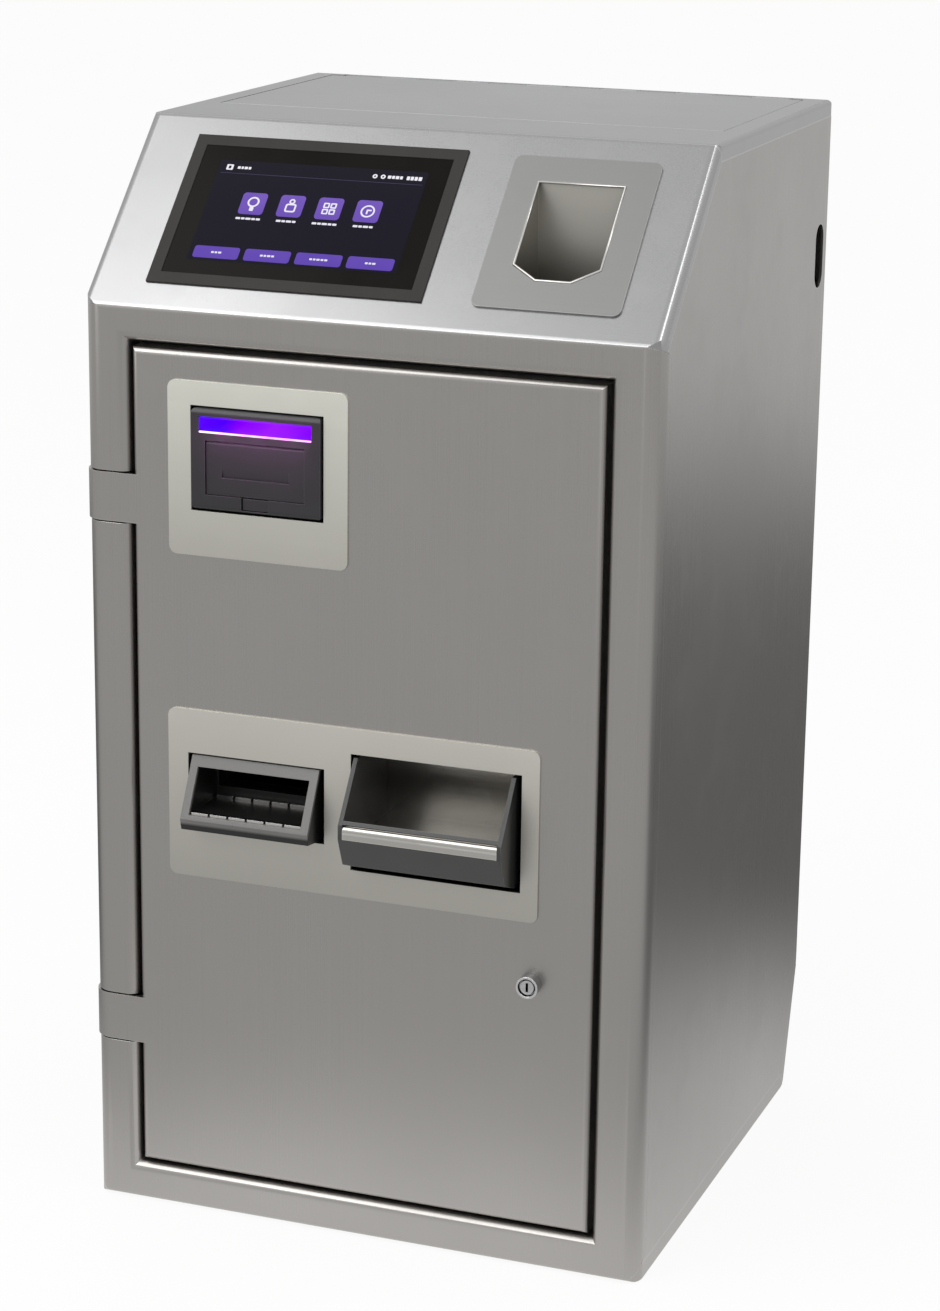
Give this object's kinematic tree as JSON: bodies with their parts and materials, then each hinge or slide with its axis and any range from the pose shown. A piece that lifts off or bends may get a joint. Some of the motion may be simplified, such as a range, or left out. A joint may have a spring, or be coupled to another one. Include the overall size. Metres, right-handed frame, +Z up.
{
  "type": "bill validator",
  "caption": "Stainless-steel cash kiosk with note validator and outlet, coin inlet and cup, touch screen and a locking service door.",
  "frame": {"origin": "centre of the floor-bolt pattern on the underside of the base", "axes": "+X to the right seen from the front, -Y out of the front face, +Z up"},
  "size_m": [0.422, 0.4482, 0.785],
  "materials": {
    "brushed_sheet": "brushed",
    "satin_plate": "satin",
    "cup_steel": "satin",
    "zinc_plate": "zinc plated",
    "hinge_steel": "turned",
    "lock_chrome": "polished",
    "dark_plastic": "fine texture",
    "grey_plastic": "satin",
    "module_black": "moulded",
    "bezel_grey": "satin",
    "seal_rubber": "matt",
    "roller_rubber": "matt",
    "belt_rubber": "matt",
    "disc_plastic": "moulded",
    "led_violet": "lit",
    "screen_glass": "polished",
    "screen_image": "lit",
    "electric_grey": "powder coated",
    "switch_red": "moulded"
  },
  "bodies": {
    "cabinet": {"base_plate": "brushed_sheet", "left_side_panel": "brushed_sheet", "right_side_panel": "brushed_sheet", "rear_panel": "brushed_sheet", "front_frame": "brushed_sheet", "console_panel": "brushed_sheet", "top_panel": "brushed_sheet", "hinge_brackets": "zinc_plate", "hinge_pins": "hinge_steel", "strike_plate": "zinc_plate", "door_gasket": "seal_rubber", "chassis_left_wall": "zinc_plate", "chassis_centre_wall": "zinc_plate", "chassis_right_wall": "zinc_plate", "note_shelf": "zinc_plate", "coin_shelf": "zinc_plate", "note_cashbox": "zinc_plate", "coin_cashbox": "zinc_plate", "cashbox_handles": "module_black", "recycler_housing": "module_black", "validator_lower_housing": "module_black", "validator_upper_housing": "module_black", "roller_drive_belt": "belt_rubber", "validator_bezel": "dark_plastic", "led_light_guide": "led_violet", "note_outlet_bezel": "grey_plastic", "note_guide_strips": "cup_steel", "coin_cup_shell": "grey_plastic", "coin_cup_tray": "cup_steel", "coin_inlet_plate": "satin_plate", "coin_funnel": "cup_steel", "coin_feeder_housing": "module_black", "coin_hopper": "module_black", "coin_chute": "zinc_plate", "screen_bezel": "bezel_grey", "touch_glass": "screen_glass", "lcd_panel": "screen_image", "monitor_housing": "zinc_plate", "power_supply": "electric_grey", "controller_box": "electric_grey", "mains_inlet": "module_black", "lid_hinge_leaf": "zinc_plate", "lid_hinge_pin": "hinge_steel"},
    "door": {"door_panel": "brushed_sheet", "hinge_knuckles": "hinge_steel", "validator_plate": "satin_plate", "payout_plate": "satin_plate", "plate_studs": "zinc_plate", "lock_body": "lock_chrome"},
    "lock": {"lock_plug": "lock_chrome", "lock_cam": "zinc_plate"},
    "lid": {"service_lid": "brushed_sheet"},
    "flap": {"service_flap": "dark_plastic"},
    "latch": {"flap_latch": "dark_plastic"},
    "front_roller": {"front_note_roller": "roller_rubber"},
    "rear_roller": {"rear_note_roller": "roller_rubber"},
    "drum": {"recycler_drum": "disc_plastic"},
    "feeder_disc": {"coin_feeder_disc": "disc_plastic"},
    "hopper_disc": {"coin_hopper_disc": "disc_plastic"},
    "rocker": {"mains_switch": "switch_red"}
  },
  "joints": [
    {"name": "door_hinge", "type": "hinge", "parent": "cabinet", "child": "door", "pos_m": [-0.196, -0.1915, 0.3925], "axis": [0, 0, -1], "range_deg": [0, 110]},
    {"name": "lock_turn", "type": "hinge", "parent": "door", "child": "lock", "pos_m": [0.1275, -0.2075, 0.215], "axis": [0, -1, 0], "range_deg": [0, 90]},
    {"name": "lid_hinge", "type": "hinge", "parent": "cabinet", "child": "lid", "pos_m": [0, 0.1975, 0.782], "axis": [-1, 0, 0], "range_deg": [0, 80]},
    {"name": "flap_hinge", "type": "hinge", "parent": "cabinet", "child": "flap", "pos_m": [-0.078, -0.208, 0.576], "axis": [-1, 0, 0], "range_deg": [0, 70]},
    {"name": "latch_press", "type": "slide", "parent": "cabinet", "child": "latch", "axis": [0, 1, 0], "range_m": [0, 0.002], "stiffness_N_per_m": 400},
    {"name": "front_roller_spin", "type": "hinge", "parent": "cabinet", "child": "front_roller", "pos_m": [-0.078, -0.15, 0.5796], "axis": [1, 0, 0], "continuous": true},
    {"name": "rear_roller_spin", "type": "hinge", "parent": "cabinet", "child": "rear_roller", "pos_m": [-0.078, -0.078, 0.5796], "axis": [1, 0, 0], "continuous": true},
    {"name": "drum_spin", "type": "hinge", "parent": "cabinet", "child": "drum", "pos_m": [-0.078, -0.07, 0.43], "axis": [1, 0, 0], "continuous": true},
    {"name": "feeder_disc_spin", "type": "hinge", "parent": "cabinet", "child": "feeder_disc", "pos_m": [0.121, -0.141, 0.56], "axis": [0, 0, 1], "continuous": true},
    {"name": "hopper_disc_spin", "type": "hinge", "parent": "cabinet", "child": "hopper_disc", "pos_m": [0.073, -0.008, 0.41], "axis": [0, 0, 1], "continuous": true},
    {"name": "mains_rocker", "type": "hinge", "parent": "cabinet", "child": "rocker", "pos_m": [-0.15, 0.2055, 0.224], "axis": [1, 0, 0], "range_deg": [0, 16]}
  ],
  "couplings": [
    {"joint": "rear_roller_spin", "follows": "front_roller_spin", "ratio": 1}
  ]
}
